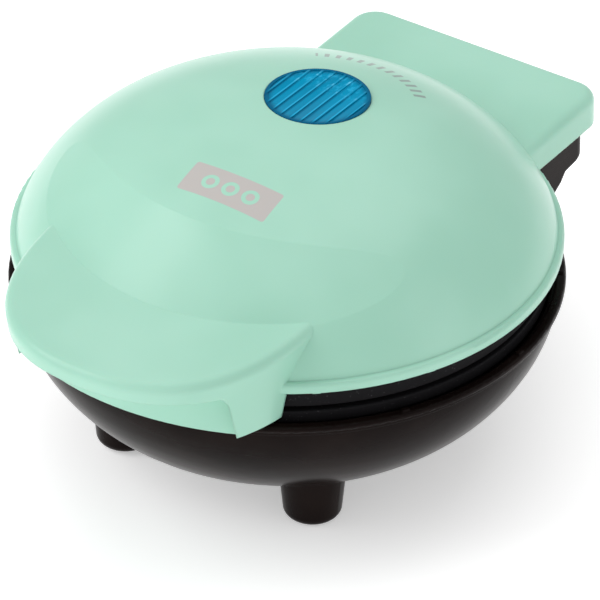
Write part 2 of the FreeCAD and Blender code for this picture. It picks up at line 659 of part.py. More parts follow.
def plate_casting(skirt_parts, screw_depth):
    """Cast plate with its cooking face up at Z = 0; skirt_parts are (outer radius, top, bottom)."""
    disc = cylinder(PLATE_RADIUS, -PLATE_THICKNESS, 0)
    disc = disc.makeFillet(PLATE_EDGE_ROUND, edges_at(disc, lambda p: near(p.z, 0)))
    parts = [disc]
    for radius, top, bottom in skirt_parts:
        ring = cylinder(radius, bottom, top).cut(cylinder(radius - SKIRT_WALL, bottom - 1, top + 1))
        parts.append(ring)
    for x, y in donut_places():
        parts.append(cylinder(CUP_RADIUS, -CUP_DEPTH, -PLATE_THICKNESS / 2, x, y))
    for angle in BOSS_ANGLES:
        x, y = on_circle(BOSS_CIRCLE, angle)
        parts.append(cylinder(BOSS_RADIUS, -SHIELD_DEPTH, -PLATE_THICKNESS / 2, x, y))
    plate = fuse_all(parts)

    tools = [Part.makeTorus(ELEMENT_RING, ELEMENT_RADIUS + ELEMENT_FIT, V(0, 0, -ELEMENT_DEPTH))]
    for x, y in donut_places():
        tools.append(Part.makeTorus(RING_RADIUS, RING_SECTION, V(x, y, 0)))
        tools.append(cylinder(STUD_CORE_RADIUS, -CUP_DEPTH, -CUP_DEPTH + STUD_CORE_DEPTH, x, y))
    for angle in BOSS_ANGLES:
        x, y = on_circle(BOSS_CIRCLE, angle)
        tools.append(cylinder(SCREW_RADIUS + SCREW_CLEARANCE, -SHIELD_DEPTH, -screw_depth, x, y))
    return cut_all(plate, tools)


def lower_cooking_plate():
    under = -LOWER_EDGE_HEIGHT + 0.5
    skirt = [
        (PLATE_RADIUS, -PLATE_THICKNESS + 0.5, -LOWER_EDGE_HEIGHT),
        (LOWER_SKIRT_RADIUS, -PLATE_THICKNESS + 0.5, -LOWER_SKIRT_HEIGHT),
    ]
    ledge = cylinder(PLATE_RADIUS - SKIRT_WALL, -LOWER_EDGE_HEIGHT, under)
    ledge = ledge.cut(cylinder(LOWER_SKIRT_RADIUS - SKIRT_WALL, -LOWER_EDGE_HEIGHT - 1, 0))
    plate = plate_casting(skirt, SHIELD_DEPTH - SCREW_GRIP).fuse(ledge)
    plate.translate(V(0, 0, LOWER_FACE_Z))
    return plate


def upper_cooking_plate():
    skirt = [(PLATE_RADIUS, -PLATE_THICKNESS + 0.5, -UPPER_SKIRT_HEIGHT)]
    plate = plate_casting(skirt, -1)
    for angle in BOSS_ANGLES:
        x, y = on_circle(BOSS_CIRCLE, angle)
        seat = Part.makeCone(SCREW_RADIUS, FLAT_HEAD_RADIUS, FLAT_HEAD_HEIGHT, V(x, y, -FLAT_HEAD_HEIGHT))
        plate = plate.cut(seat)
    plate.translate(V(0, 0, LOWER_FACE_Z))
    return lid_side(plate)


def heating_element():
    """Open ring with two legs that turn away from the plate, in the place of the lower one."""
    ring_z = LOWER_FACE_Z - ELEMENT_DEPTH
    ring = Part.makeTorus(ELEMENT_RING, ELEMENT_RADIUS, V(0, 0, 0), V(0, 0, 1), -180, 180, ELEMENT_SWEEP)
    ring.rotate(V(0, 0, 0), V(0, 0, 1), 90 + (360 - ELEMENT_SWEEP) / 2)
    ring.translate(V(0, 0, ring_z))
    parts = [ring]
    for x, y in element_ends():
        parts.append(Part.makeSphere(ELEMENT_RADIUS, V(x, y, ring_z)))
        parts.append(cylinder(ELEMENT_RADIUS, ring_z - ELEMENT_LEG, ring_z, x, y))
        parts.append(cylinder(PIN_RADIUS, ring_z - ELEMENT_LEG - PIN_LENGTH, ring_z, x, y))
    return fuse_all(parts)


def element_ends():
    half_gap = (360 - ELEMENT_SWEEP) / 2
    return [on_circle(ELEMENT_RING, 90 + half_gap), on_circle(ELEMENT_RING, 90 - half_gap)]


def heat_shield():
    """Pressed dish under the element, with a lip towards the plate."""
    disc = cylinder(SHIELD_RADIUS, SHIELD_Z - SHIELD_THICKNESS, SHIELD_Z)
    lip = cylinder(SHIELD_RADIUS, SHIELD_Z - SHIELD_THICKNESS, SHIELD_Z + SHIELD_LIP)
    lip = lip.cut(cylinder(SHIELD_RADIUS - SHIELD_THICKNESS, SHIELD_Z - 1, SHIELD_Z + SHIELD_LIP))
    tools = []
    for angle in BOSS_ANGLES:
        x, y = on_circle(BOSS_CIRCLE, angle)
        tools.append(cylinder(SCREW_RADIUS + SCREW_CLEARANCE, SHIELD_Z - 2, SHIELD_Z + 1, x, y))
    for x, y in element_ends():
        tools.append(cylinder(BEAD_RADIUS + ELEMENT_FIT, SHIELD_Z - 2, SHIELD_Z + 1, x, y))
    return cut_all(disc.fuse(lip), tools)


def element_beads():
    """Ceramic beads that keep the element's legs off the shield."""
    beads = []
    under = SHIELD_Z - SHIELD_THICKNESS
    for x, y in element_ends():
        bead = cylinder(BEAD_RADIUS, under + BEAD_RISE - BEAD_LENGTH, under + BEAD_RISE, x, y)
        bead = bead.fuse(cylinder(BEAD_COLLAR, under - BEAD_COLLAR_LENGTH, under, x, y))
        beads.append(bead.cut(cylinder(ELEMENT_RADIUS + ELEMENT_FIT, under - FAR, under + FAR, x, y)))
    return Part.makeCompound(beads)


def slot_cutter(half_length):
    return box(-half_length, half_length, -SLOT_WIDTH / 2, SLOT_WIDTH / 2, 0, SLOT_DEPTH)


def lower_plate_screws():
    seat = SHIELD_Z - SHIELD_THICKNESS - WELL_ROOF
    screws = []
    for angle in BOSS_ANGLES:
        x, y = on_circle(BOSS_CIRCLE, angle)
        head = cylinder(PAN_HEAD_RADIUS, seat - PAN_HEAD_HEIGHT, seat, x, y)
        under_head = edges_at(head, lambda p: near(p.z, seat - PAN_HEAD_HEIGHT))
        head = head.makeFillet(PAN_HEAD_HEIGHT / 3, under_head)
        shank = cylinder(SCREW_RADIUS, seat - 0.1, SHIELD_Z + SCREW_GRIP - 1, x, y)
        screw = head.fuse(shank)
        for turn in (0, 90):
            slot = slot_cutter(PAN_HEAD_RADIUS - 1)
            slot.rotate(V(0, 0, 0), V(0, 0, 1), turn)
            slot.translate(V(x, y, seat - PAN_HEAD_HEIGHT))
            screw = screw.cut(slot)
        screws.append(screw)
    return Part.makeCompound(screws)


def upper_plate_screws():
    """Countersunk screws through the upper plate into the lid's posts."""
    screws = []
    top = LID_SHIELD_Z + SHIELD_THICKNESS + LID_SCREW_GRIP
    for angle in BOSS_ANGLES:
        x, y = on_circle(BOSS_CIRCLE, angle)
        head = Part.makeCone(
            FLAT_HEAD_RADIUS, SCREW_RADIUS, FLAT_HEAD_HEIGHT, V(x, y, UPPER_FACE_Z))
        screw = head.fuse(cylinder(SCREW_RADIUS, UPPER_FACE_Z, top, x, y))
        for turn in (0, 90):
            slot = slot_cutter(FLAT_HEAD_RADIUS - 1)
            slot.rotate(V(0, 0, 0), V(0, 0, 1), turn)
            slot.translate(V(x, y, UPPER_FACE_Z))
            screw = screw.cut(slot)
        screws.append(screw)
    return Part.makeCompound(screws)


# ------------------------------------------------------------------ electrics in the base
def thermostat():
    top = SHIELD_Z - SHIELD_THICKNESS
    body = cylinder(THERMOSTAT_RADIUS, top - THERMOSTAT_HEIGHT, top, 0, THERMOSTAT_Y)
    parts = [body]
    for x in (-THERMOSTAT_RADIUS / 2, THERMOSTAT_RADIUS / 2):
        low = top - THERMOSTAT_HEIGHT - BLADE_LENGTH
        y_from = THERMOSTAT_Y - BLADE_WIDTH / 2
        parts.append(box(x, x + BLADE_THICKNESS, y_from, y_from + BLADE_WIDTH, low, top - 1))
    return fuse_all(parts)


def thermostat_clip():
    top = SHIELD_Z - SHIELD_THICKNESS
    half = BRACKET_LENGTH / 2
    y_from = THERMOSTAT_Y - BRACKET_BREADTH / 2
    plate = box(-half, half, y_from, y_from + BRACKET_BREADTH, top - SHIELD_THICKNESS, top)
    return plate.cut(cylinder(THERMOSTAT_RADIUS + ELEMENT_FIT, top - 5, top + 5, 0, THERMOSTAT_Y))


def fuse_z():
    return SHIELD_Z - SHIELD_THICKNESS - FUSE_RADIUS - SLEEVE_WALL - ELEMENT_FIT


def bar_y(radius, length, x, z):
    return Part.makeCylinder(radius, length, V(x, -length / 2, z), V(0, 1, 0))


def thermal_fuse():
    body = bar_y(FUSE_RADIUS, FUSE_LENGTH, FUSE_X, fuse_z())
    return body.fuse(bar_y(FUSE_LEAD_RADIUS, FUSE_LENGTH + 2 * FUSE_LEAD, FUSE_X, fuse_z()))


def fuse_sleeve():
    outer = bar_y(FUSE_RADIUS + SLEEVE_WALL + ELEMENT_FIT, SLEEVE_LENGTH, FUSE_X, fuse_z())
    return outer.cut(bar_y(FUSE_RADIUS + ELEMENT_FIT, SLEEVE_LENGTH + 2, FUSE_X, fuse_z()))


def terminal_block():
    half = TERMINAL_LENGTH / 2
    y_from = TERMINAL_Y - TERMINAL_BREADTH / 2
    body = box(-half, half, y_from, y_from + TERMINAL_BREADTH, FLOOR_Z, FLOOR_Z + TERMINAL_HEIGHT)
    mid_z = FLOOR_Z + TERMINAL_HEIGHT / 2
    uprights = edges_at(body, lambda p: near(abs(p.x), half) and near(p.z, mid_z))
    body = body.makeFillet(1.0, uprights)
    for x in terminal_places():
        body = body.cut(cylinder(TERMINAL_RADIUS + ELEMENT_FIT, FLOOR_Z + 3, FLOOR_Z + FAR, x, TERMINAL_Y))
        entry = Part.makeCylinder(WIRE_RADIUS + ELEMENT_FIT, FAR, V(x, TERMINAL_Y, wire_z()), V(0, 1, 0))
        body = body.cut(entry)
    return body


def terminal_places():
    return [-TERMINAL_PITCH, 0.0, TERMINAL_PITCH]


def wire_z():
    return FLOOR_Z + 4.6


def terminal_screws():
    screws = []
    for x in terminal_places():
        low = wire_z() + WIRE_RADIUS + ELEMENT_FIT
        screw = cylinder(TERMINAL_RADIUS, low, FLOOR_Z + TERMINAL_HEIGHT - 1.2, x, TERMINAL_Y)
        slot = slot_cutter(TERMINAL_RADIUS)
        slot.translate(V(x, TERMINAL_Y, FLOOR_Z + TERMINAL_HEIGHT - 1.2 - SLOT_DEPTH))
        screws.append(screw.cut(slot))
    return Part.makeCompound(screws)


def terminal_wires():
    """Leads from the terminal block up to the two element pins and to the shield's earth point."""
    pin_z = LOWER_FACE_Z - ELEMENT_DEPTH - ELEMENT_LEG - PIN_LENGTH
    pin_x, pin_y = element_ends()[1]
    start_y = TERMINAL_Y + TERMINAL_RADIUS
    live_route = [
        V(TERMINAL_PITCH, start_y, wire_z()),
        V(TERMINAL_PITCH, pin_y - 2 * WIRE_BEND, wire_z()),
        V(pin_x, pin_y, wire_z()),
        V(pin_x, pin_y, pin_z),
    ]
    earth_y = pin_y - 2 * BEAD_RADIUS
    earth_route = [
        V(0, start_y, wire_z()),
        V(0, earth_y, wire_z()),
        V(0, earth_y, SHIELD_Z - SHIELD_THICKNESS),
    ]
    live = tube(live_route, WIRE_RADIUS, WIRE_BEND / 2)
    return {
        "live_wire": live,
        "neutral_wire": mirrored_x(live),
        "earth_wire": tube(earth_route, WIRE_RADIUS, WIRE_BEND / 2),
    }


def foot_pads():
    pads = []
    for x, y in foot_places():
        pad = cylinder(PAD_RADIUS, 0, PAD_THICKNESS, x, y)
        pads.append(pad.makeFillet(0.4, edges_at(pad, lambda p: near(p.z, 0))))
    return Part.makeCompound(pads)


def cord_gland():
    """Grommet in the tower's rear wall, with the bore for the mains lead."""
    seat_y = TOWER_REAR_Y - GLAND_SEAT
    body = gland_bar(GLAND_BODY, seat_y - 2 * BASE_WALL, seat_y)
    collar = gland_bar(GLAND_COLLAR, seat_y, seat_y + GLAND_COLLAR_LENGTH)
    bore = gland_bar(GLAND_BORE, 0, FAR)
    return body.fuse(collar).cut(bore)


# ------------------------------------------------------------------ hinge pieces
def hinge_rod():
    return rod_x(ROD_RADIUS, -ROD_HALF_LENGTH, ROD_HALF_LENGTH, HINGE_Y, HINGE_Z)


def hinge_bushes():
    bush = rod_x(BUSH_RADIUS, LUG_INNER_X, LUG_OUTER_X, HINGE_Y, HINGE_Z)
    bush = bush.cut(rod_x(ROD_RADIUS + ROD_CLEARANCE, 0, FAR, HINGE_Y, HINGE_Z))
    return Part.makeCompound([bush, mirrored_x(bush)])


def rod_clips():
    gap = 0.2
    start = LUG_OUTER_X + gap
    clip = rod_x(CLIP_RADIUS, start, start + CLIP_THICKNESS, HINGE_Y, HINGE_Z)
    clip = clip.cut(rod_x(ROD_RADIUS, 0, FAR, HINGE_Y, HINGE_Z))
    half = ROD_RADIUS / 2
    mouth = box(0, FAR, HINGE_Y - half, HINGE_Y + half, HINGE_Z - FAR, HINGE_Z - half)
    clip = clip.cut(mouth)
    return Part.makeCompound([clip, mirrored_x(clip)])


# ------------------------------------------------------------------ lens and lamp
def indicator_lens():
    lens = cylinder(LENS_RADIUS, -LENS_THICKNESS, 0)
    lens = lens.makeFillet(0.5, edges_at(lens, lambda p: near(p.z, 0)))
    step = 2 * LENS_RADIUS / (RIB_COUNT + 1)
    ribs = []
    for number in range(RIB_COUNT):
        x = -LENS_RADIUS + step * (number + 1)
        rib_bottom = -LENS_THICKNESS - RIB_HEIGHT
        ribs.append(box(x - RIB_WIDTH / 2, x + RIB_WIDTH / 2, -FAR, FAR, rib_bottom, -LENS_THICKNESS))
    room = cylinder(LENS_RADIUS - RETAINER_WALL - LENS_FIT, -FAR, 0)
    ribs = [rib.common(room) for rib in ribs]
    return lens_frame(fuse_all([lens] + ribs))


def lens_retainer():
    ring = cylinder(LENS_RADIUS - ELEMENT_FIT, -LENS_THICKNESS - RETAINER_HEIGHT, -LENS_THICKNESS)
    ring = ring.cut(cylinder(LENS_RADIUS - RETAINER_WALL, -FAR, FAR))
    return lens_frame(ring)


def lamp_holder():
    low = -LENS_THICKNESS - RETAINER_HEIGHT
    plate = cylinder(LENS_RADIUS - ELEMENT_FIT, low - HOLDER_THICKNESS, low)
    cradle = box(-LAMP_LENGTH / 2, LAMP_LENGTH / 2, -LAMP_RADIUS, LAMP_RADIUS, low, low + LAMP_RADIUS)
    lamp_room = rod_x(LAMP_RADIUS + ELEMENT_FIT, -FAR, FAR, 0, low + LAMP_RADIUS)
    return lens_frame(plate.fuse(cradle).cut(lamp_room))


def indicator_lamp():
    low = -LENS_THICKNESS - RETAINER_HEIGHT
    lamp = rod_x(LAMP_RADIUS, -LAMP_LENGTH / 2, LAMP_LENGTH / 2, 0, low + LAMP_RADIUS)
    tip = edges_at(lamp, lambda p: near(abs(p.x), LAMP_LENGTH / 2))
    return lens_frame(lamp.makeFillet(1.0, tip))


# ------------------------------------------------------------------ build
def build_all():
    pieces = {
        "lid_shell": lid_shell(),
        "indicator_lens": indicator_lens(),
        "lens_retainer": lens_retainer(),
        "lamp_holder": lamp_holder(),
        "indicator_lamp": indicator_lamp(),
        "upper_cooking_plate": upper_cooking_plate(),
        "upper_heating_element": lid_side(heating_element()),
        "upper_heat_shield": lid_side(heat_shield()),
        "upper_element_beads": lid_side(element_beads()),
        "upper_plate_screws": upper_plate_screws(),
        "hinge_bushes": hinge_bushes(),
        "base_shell": base_shell(),
        "lower_cooking_plate": lower_cooking_plate(),
        "lower_heating_element": heating_element(),
        "lower_heat_shield": heat_shield(),
        "lower_element_beads": element_beads(),
        "lower_plate_screws": lower_plate_screws(),
        "thermostat": thermostat(),
        "thermostat_clip": thermostat_clip(),
        "thermal_fuse": thermal_fuse(),
        "fuse_sleeve": fuse_sleeve(),
        "terminal_block": terminal_block(),
        "terminal_screws": terminal_screws(),
        "cord_gland": cord_gland(),
        "foot_pads": foot_pads(),
        "hinge_rod": hinge_rod(),
        "rod_clips": rod_clips(),
    }
    pieces.update(terminal_wires())
    return pieces


os.makedirs("parts", exist_ok=True)
for node, shape in build_all().items():
    shape.exportStep("parts/" + node + ".step")
    print(node, len(shape.Solids), round(shape.Volume), shape.isValid())
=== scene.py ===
"""Looks of a small round donut maker: moulded lid, black bowl, cast plates, fluted lens and studio."""
import logging
import math
from dataclasses import dataclass, field
from enum import Enum
from typing import Any, Callable, Protocol, Union

import bmesh
import bpy
from mathutils import Matrix, Vector


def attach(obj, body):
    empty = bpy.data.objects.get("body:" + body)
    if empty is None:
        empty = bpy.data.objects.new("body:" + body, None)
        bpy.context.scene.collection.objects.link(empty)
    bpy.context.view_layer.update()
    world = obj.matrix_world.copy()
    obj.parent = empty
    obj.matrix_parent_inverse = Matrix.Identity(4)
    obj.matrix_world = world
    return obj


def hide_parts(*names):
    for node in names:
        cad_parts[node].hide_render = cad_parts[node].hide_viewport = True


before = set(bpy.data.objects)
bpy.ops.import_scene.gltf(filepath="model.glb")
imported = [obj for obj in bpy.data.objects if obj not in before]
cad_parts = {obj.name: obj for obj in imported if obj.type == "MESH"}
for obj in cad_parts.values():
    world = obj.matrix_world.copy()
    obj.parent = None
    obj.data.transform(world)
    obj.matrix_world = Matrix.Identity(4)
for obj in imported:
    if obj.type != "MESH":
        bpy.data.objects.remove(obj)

MM = 0.001
PER_MM = 1000.0
LOG = logging.getLogger("donut_maker")
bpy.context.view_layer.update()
Colour = tuple[float, float, float]
Triple = tuple[float, float, float]


def linear(red: int, green: int, blue: int) -> Colour:
    """Turn a screen colour into the linear colour that shaders use.

    Args:
        red: red, from 0 to 255.
        green: green, from 0 to 255.
        blue: blue, from 0 to 255.

    Returns:
        The same colour as three linear parts from 0 to 1.
    """
    def one(value: int) -> float:
        """Linear value of one channel."""
        part = value / 255
        return part / 12.92 if part <= 0.04045 else ((part + 0.055) / 1.055) ** 2.4
    return one(red), one(green), one(blue)


class Grain(Enum):
    """Ways that metal is worked, as the stretch of its grain along X, Y and Z."""

    ROLLED_ALONG_X = (0.06, 1.0, 1.0)
    ROLLED_ALONG_Y = (1.0, 0.06, 1.0)
    CAST = (1.0, 1.0, 1.0)


# ---------------------------------------------------------------- shader graph
class Wire:
    """A number on its way through a shader, with arithmetic that adds Math nodes."""

    def __init__(self, sheet: "Sheet", socket: Any) -> None:
        """Keep the sheet that the socket belongs to, and the socket."""
        self.sheet = sheet
        self.socket = socket

    def _math(self, operation: str, *values: "Number") -> "Wire":
        """Add one Math node and return its result."""
        return self.sheet.node("ShaderNodeMath", {"operation": operation}, values)

    def __add__(self, other: "Number") -> "Wire":
        """self + other."""
        return self._math("ADD", self, other)

    def __radd__(self, other: "Number") -> "Wire":
        """other + self."""
        return self._math("ADD", other, self)

    def __sub__(self, other: "Number") -> "Wire":
        """self - other."""
        return self._math("SUBTRACT", self, other)

    def __rsub__(self, other: "Number") -> "Wire":
        """other - self."""
        return self._math("SUBTRACT", other, self)

    def __mul__(self, other: "Number") -> "Wire":
        """self * other."""
        return self._math("MULTIPLY", self, other)

    def __rmul__(self, other: "Number") -> "Wire":
        """other * self."""
        return self._math("MULTIPLY", other, self)

    def __truediv__(self, other: "Number") -> "Wire":
        """self / other."""
        return self._math("DIVIDE", self, other)

    def __rtruediv__(self, other: "Number") -> "Wire":
        """other / self."""
        return self._math("DIVIDE", other, self)

    def size(self) -> "Wire":
        """Value without its sign."""
        return self._math("ABSOLUTE", self)

    def root(self) -> "Wire":
        """Square root."""
        return self._math("SQRT", self)

    def at_least(self, other: "Number") -> "Wire":
        """The larger of the two."""
        return self._math("MAXIMUM", self, other)

    def at_most(self, other: "Number") -> "Wire":
        """The smaller of the two."""
        return self._math("MINIMUM", self, other)

    def whole(self) -> "Wire":
        """The nearest whole number."""
        return self._math("ROUND", self)

    def wave(self) -> "Wire":
        """Sine."""
        return self._math("SINE", self)

    def step(self, low: float, high: float) -> "Wire":
        """Soft step from 0 to 1.

        Args:
            low: the value at which the step is 0.
            high: the value at which it is 1, which may be the smaller of the two.

        Returns:
            The stepped value.
        """
        if low < high:
            return self.sheet.ramp_between(self, low, high)
        return 1 - self.sheet.ramp_between(self, high, low)


Number = Union[Wire, float]


class Sheet:
    """One material's node tree, written as expressions."""

    def __init__(self, name: str) -> None:
        """Start an empty material of that name."""
        self.material = bpy.data.materials.new(name)
        self.material.use_nodes = True
        self.tree = self.material.node_tree
        self.tree.nodes.clear()

    def put(self, socket: Any, value: Any) -> None:
        """Link a wire to a socket, or set the socket's value.

        Args:
            socket: an input of a node.
            value: a wire, a number, or a colour or vector of three numbers.
        """
        if isinstance(value, Wire):
            self.tree.links.new(value.socket, socket)
        elif isinstance(value, (tuple, list)) and len(socket.default_value) == len(value) + 1:
            socket.default_value = (*value, 1.0)
        else:
            socket.default_value = value

    def node(self, kind: str, settings: dict[str, Any], inputs: Any, output: Any = 0) -> Wire:
        """Add any node.

        Args:
            kind: the node's type name.
            settings: its settings, set before its sockets.
            inputs: values or wires, as a list in socket order or a dict by socket name or number.
            output: the name or number of the output to return.

        Returns:
            The chosen output as a wire.
        """
        made = self.tree.nodes.new(kind)
        for key, value in settings.items():
            setattr(made, key, value)
        items = inputs.items() if isinstance(inputs, dict) else enumerate(inputs)
        for key, value in items:
            self.put(made.inputs[key], value)
        return Wire(self, made.outputs[output])

    def ramp_between(self, value: Wire, low: float, high: float) -> Wire:
        """Smooth step from 0 at low to 1 at high."""
        settings = {"interpolation_type": "SMOOTHSTEP"}
        return self.node("ShaderNodeMapRange", settings, {"Value": value, "From Min": low, "From Max": high})

    def spot(self, stretch: Triple = (1.0, 1.0, 1.0)) -> Wire:
        """Object coordinates in millimetres, as a vector.

        Args:
            stretch: a factor for each axis.

        Returns:
            The vector's wire.
        """
        raw = self.node("ShaderNodeTexCoord", {}, [], "Object")
        scale = tuple(PER_MM * part for part in stretch)
        return self.node("ShaderNodeMapping", {"vector_type": "POINT"}, {"Vector": raw, "Scale": scale})

    def place(self) -> tuple[Wire, Wire, Wire]:
        """Object coordinates in millimetres, as three wires."""
        split = self.node("ShaderNodeSeparateXYZ", {}, [self.spot()])
        x, y, z = split.socket.node.outputs
        return Wire(self, x), Wire(self, y), Wire(self, z)

    def noise(self, size_mm: float, detail: float = 2.0, rough: float = 0.5,
              stretch: Triple = (1.0, 1.0, 1.0)) -> Wire:
        """Soft noise from 0 to 1.

        Args:
            size_mm: about how large its patches are.
            detail: how many finer layers it has.
            rough: how strong those layers are.
            stretch: a factor for each axis.

        Returns:
            The noise's wire.
        """
        inputs = {"Vector": self.spot(stretch), "Scale": 1.0 / size_mm, "Detail": detail, "Roughness": rough}
        return self.node("ShaderNodeTexNoise", {}, inputs, "Fac")

    def cells(self, size_mm: float) -> Wire:
        """Distance to the middle of cells of about that size."""
        inputs = {"Vector": self.spot(), "Scale": 1.0 / size_mm}
        return self.node("ShaderNodeTexVoronoi", {"feature": "F1"}, inputs, "Distance")

    def blend(self, factor: Number, first: Any, second: Any) -> Wire:
        """Mix two colours, each a wire or a colour."""
        settings = {"data_type": "RGBA"}
        return self.node("ShaderNodeMix", settings, {0: factor, 6: first, 7: second}, 2)

    def bump(self, height: Wire, depth_mm: float, strength: float, under: Union[Wire, None] = None) -> Wire:
        """Bump the surface.

        Args:
            height: the height, from 0 to 1.
            depth_mm: the depth that a height of 1 stands for.
            strength: how much of the bump is used.
            under: the normal that the bump lies on, or None for the mesh's own.

        Returns:
            The bumped normal.
        """
        inputs = {"Height": height, "Distance": depth_mm * MM, "Strength": strength}
        if under is not None:
            inputs["Normal"] = under
        return self.node("ShaderNodeBump", {}, inputs, "Normal")

    def soft_edges(self, radius_mm: float) -> Wire:
        """Normals rounded over creases, as a mould rounds them."""
        return self.node("ShaderNodeBevel", {"samples": 6}, {"Radius": radius_mm * MM}, "Normal")

    def finish(self, **sockets: Any) -> Any:
        """Add the surface shader and the output.

        Args:
            sockets: the shader's inputs by name, with words joined by underscores.

        Returns:
            The finished material.
        """
        shader = self.tree.nodes.new("ShaderNodeBsdfPrincipled")
        for name, value in sockets.items():
            self.put(shader.inputs[name.replace("_", " ")], value)
        end = self.tree.nodes.new("ShaderNodeOutputMaterial")
        self.tree.links.new(shader.outputs[0], end.inputs[0])
        return self.material


# ---------------------------------------------------------------- finishes
class Finish(Protocol):
    """Anything with a name that can make one material."""

    name: str

    def make(self) -> Any:
        """Build the material."""


@dataclass(frozen=True)
class Panel:
    """Plain printed panel on the front of the dome, with three rings left out of it, in millimetres."""

    centre_x: float = 4.4
    centre_y: float = -36.8
    half_length: float = 15.6
    half_height: float = 5.9
    corner: float = 0.9
    ring_radius: float = 2.1
    ring_half_width: float = 0.75
    ring_pitch: float = 7.2
    outer_rings: float = 1.0
    soft: float = 0.12

    def mask(self, sheet: Sheet) -> Wire:
        """Draw the panel.

        Args:
            sheet: the node tree that the mask is part of.

        Returns:
            1 on the panel's ink and 0 elsewhere.
        """
        x, y, _ = sheet.place()
        from_x = x - self.centre_x
        from_y = y - self.centre_y
        across = (from_x.size() - (self.half_length - self.corner)).at_least(0.0)
        along = (from_y.size() - (self.half_height - self.corner)).at_least(0.0)
        reach = (across * across + along * along).root()
        panel = reach.step(self.corner + self.soft, self.corner - self.soft)
        ring = (from_x / self.ring_pitch).whole().at_least(-self.outer_rings).at_most(self.outer_rings)
        from_ring = from_x - ring * self.ring_pitch
        from_line = ((from_ring * from_ring + from_y * from_y).root() - self.ring_radius).size()
        return panel * from_line.step(self.ring_half_width - self.soft, self.ring_half_width)


@dataclass(frozen=True)
class TickArc:
    """Short arc of plain printed ticks behind the lens, in millimetres and radians."""

    centre_y: float = 16.6
    radius: float = 32.0
    half_length: float = 1.9
    middle_turn: float = 0.09
    reach: float = 0.70
    beats: float = 9.0
    gap: float = 0.74
    ink: float = 0.86
    soft: float = 0.12
    soft_turn: float = 0.01

    def mask(self, sheet: Sheet) -> Wire:
        """Draw the ticks.

        Args:
            sheet: the node tree that the mask is part of.

        Returns:
            1 on a tick and 0 elsewhere.
        """
        x, y, _ = sheet.place()
        from_y = y - self.centre_y
        band = ((x * x + from_y * from_y).root() - self.radius).size()
        turn = sheet.node("ShaderNodeMath", {"operation": "ARCTAN2"}, [x, from_y])
        beat = (turn * self.beats * math.pi).wave().size().step(self.gap, self.ink)
        away = (turn - self.middle_turn).size()
        inside = away.step(self.reach + self.soft_turn, self.reach - self.soft_turn)
        return band.step(self.half_length + self.soft, self.half_length - self.soft) * beat * inside


@dataclass(frozen=True)
class LidPlastic:
    """Glossy pale green plastic, with the printed marks on top of the dome."""

    name: str = "lid_plastic"
    colour: Colour = linear(168, 217, 197)
    deep: Colour = linear(160, 211, 190)
    panel_colour: Colour = linear(190, 182, 180)
    panel_ink: float = 0.94
    panel_rough: float = 0.16
    tick_colour: Colour = linear(134, 150, 145)
    tick_ink: float = 0.9
    print_above: float = 96.0
    flow_mm: float = 46.0
    rough: float = 0.25
    ripple_mm: float = 3.4
    ripple_depth_mm: float = 0.008
    edge_mm: float = 0.8
    panel: Panel = Panel()
    ticks: TickArc = TickArc()

    def make(self) -> Any:
        """Build the material."""
        sheet = Sheet(self.name)
        _, _, z = sheet.place()
        flow = sheet.noise(self.flow_mm, 2.0, 0.45)
        speck = sheet.noise(0.9, 3.0, 0.6)
        on_top = z.step(self.print_above, self.print_above + 1)
        panel = self.panel.mask(sheet) * on_top
        tint = sheet.blend(flow.step(0.35, 0.68), self.deep, self.colour)
        tint = sheet.blend(panel * self.panel_ink, tint, self.panel_colour)
        tint = sheet.blend(self.ticks.mask(sheet) * on_top * self.tick_ink, tint, self.tick_colour)
        rough = self.rough + 0.05 * flow + 0.03 * speck + self.panel_rough * panel
        ripple = sheet.noise(self.ripple_mm, 1.0, 0.4)
        normal = sheet.bump(ripple, self.ripple_depth_mm, 0.3, sheet.soft_edges(self.edge_mm))
        return sheet.finish(Base_Color=tint, Roughness=rough, Normal=normal, IOR=1.5, Coat_Weight=0.06,
                            Coat_Roughness=0.08, Specular_IOR_Level=0.3, Subsurface_Weight=0.04,
                            Subsurface_Scale=0.002)


@dataclass(frozen=True)
class BowlPlastic:
    """Satin black plastic of the base, with a faint warm cast."""

    name: str = "bowl_plastic"
    colour: Colour = linear(20, 13, 12)
    worn: Colour = linear(29, 21, 19)
    flow_mm: float = 30.0
    rough: float = 0.17
    shine: float = 0.05
    ripple_mm: float = 2.2
    ripple_depth_mm: float = 0.008
    edge_mm: float = 0.8

    def make(self) -> Any:
        """Build the material."""
        sheet = Sheet(self.name)
        flow = sheet.noise(self.flow_mm, 3.0, 0.5)
        tint = sheet.blend(flow.step(0.4, 0.7), self.colour, self.worn)
        rough = self.rough + 0.05 * flow + 0.05 * sheet.noise(0.7, 3.0, 0.6)
        ripple = sheet.noise(self.ripple_mm)
        normal = sheet.bump(ripple, self.ripple_depth_mm, 0.4, sheet.soft_edges(self.edge_mm))
        return sheet.finish(Base_Color=tint, Roughness=rough, Normal=normal, IOR=1.5,
                            Specular_IOR_Level=self.shine)


